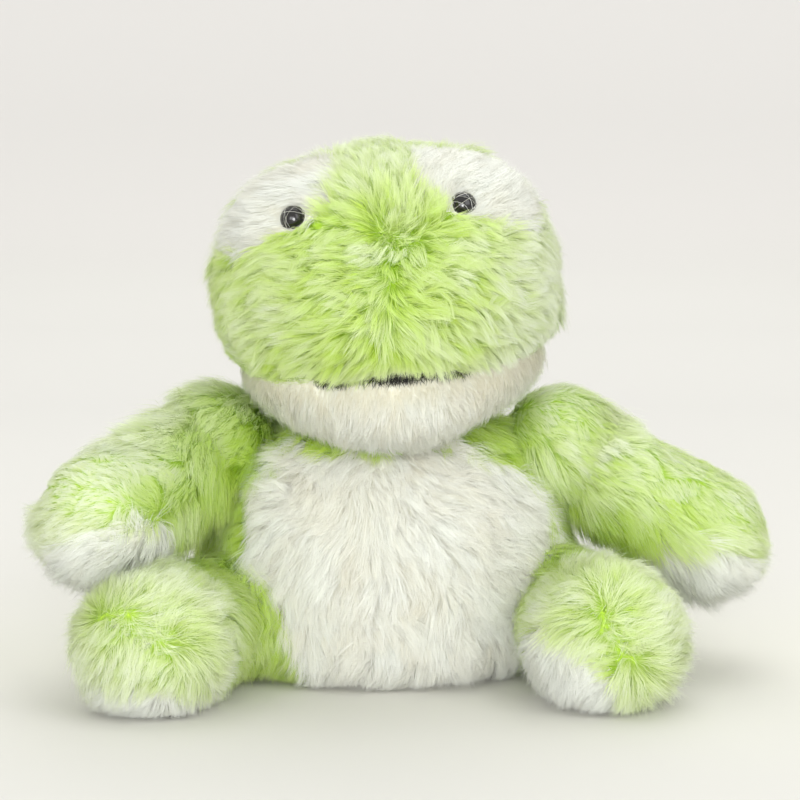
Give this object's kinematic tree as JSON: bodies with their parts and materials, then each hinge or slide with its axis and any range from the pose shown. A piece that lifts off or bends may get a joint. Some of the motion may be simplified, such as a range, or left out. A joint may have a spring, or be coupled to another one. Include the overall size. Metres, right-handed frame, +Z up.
{
  "type": "plush frog",
  "caption": "Seated plush frog of long green and white pile, with a nodding head, arms that lift and legs that spread, filled with fibre over a pouch of pellets.",
  "frame": {"origin": "centre of the flat underside of the torso, on the surface the toy sits on", "axes": "+Z up, -Y the way the toy faces, +X to the toy's own left"},
  "size_m": [0.2392, 0.1348, 0.1779],
  "materials": {
    "green_pile": "long soft pile, matte",
    "white_pile": "long soft pile, matte",
    "fibre_filling": "matte",
    "pouch_linen": "matte",
    "eye_gloss": "polished",
    "washer_plastic": "satin",
    "mouth_thread": "matte"
  },
  "bodies": {
    "torso": {"torso_skin": "green_pile", "belly_panel": "white_pile", "torso_stuffing": "fibre_filling", "weight_pouch": "pouch_linen"},
    "head": {"head_skin": "green_pile", "chin_panel": "white_pile", "head_stuffing": "fibre_filling", "eye_patch_left": "white_pile", "eye_patch_right": "white_pile", "eye_left": "eye_gloss", "eye_right": "eye_gloss", "eye_washer_left": "washer_plastic", "eye_washer_right": "washer_plastic", "mouth_stitch": "mouth_thread"},
    "arm_left": {"arm_skin_left": "green_pile", "palm_left": "white_pile", "arm_stuffing_left": "fibre_filling"},
    "arm_right": {"arm_skin_right": "green_pile", "palm_right": "white_pile", "arm_stuffing_right": "fibre_filling"},
    "leg_left": {"leg_skin_left": "green_pile", "sole_left": "white_pile", "leg_stuffing_left": "fibre_filling"},
    "leg_right": {"leg_skin_right": "green_pile", "sole_right": "white_pile", "leg_stuffing_right": "fibre_filling"}
  },
  "joints": [
    {"name": "head_nod", "type": "hinge", "parent": "torso", "child": "head", "pos_m": [0, -0.003, 0.097], "axis": [-1, 0, 0], "range_deg": [-8, 15], "stiffness_Nm_per_rad": 0.5},
    {"name": "arm_left_lift", "type": "hinge", "parent": "torso", "child": "arm_left", "pos_m": [0.05854, 0.00311, 0.0755], "axis": [0, -1, 0], "range_deg": [-5, 45], "stiffness_Nm_per_rad": 0.3},
    {"name": "arm_right_lift", "type": "hinge", "parent": "torso", "child": "arm_right", "pos_m": [-0.05819, -0.0071, 0.0755], "axis": [0, 1, 0], "range_deg": [-3, 45], "stiffness_Nm_per_rad": 0.3},
    {"name": "leg_left_spread", "type": "hinge", "parent": "torso", "child": "leg_left", "pos_m": [0.05692, -0.01838, 0.022], "axis": [0, 0, 1], "range_deg": [-4, 20], "stiffness_Nm_per_rad": 0.3},
    {"name": "leg_right_spread", "type": "hinge", "parent": "torso", "child": "leg_right", "pos_m": [-0.05286, -0.02798, 0.022], "axis": [0, 0, -1], "range_deg": [-12, 6], "stiffness_Nm_per_rad": 0.3}
  ]
}
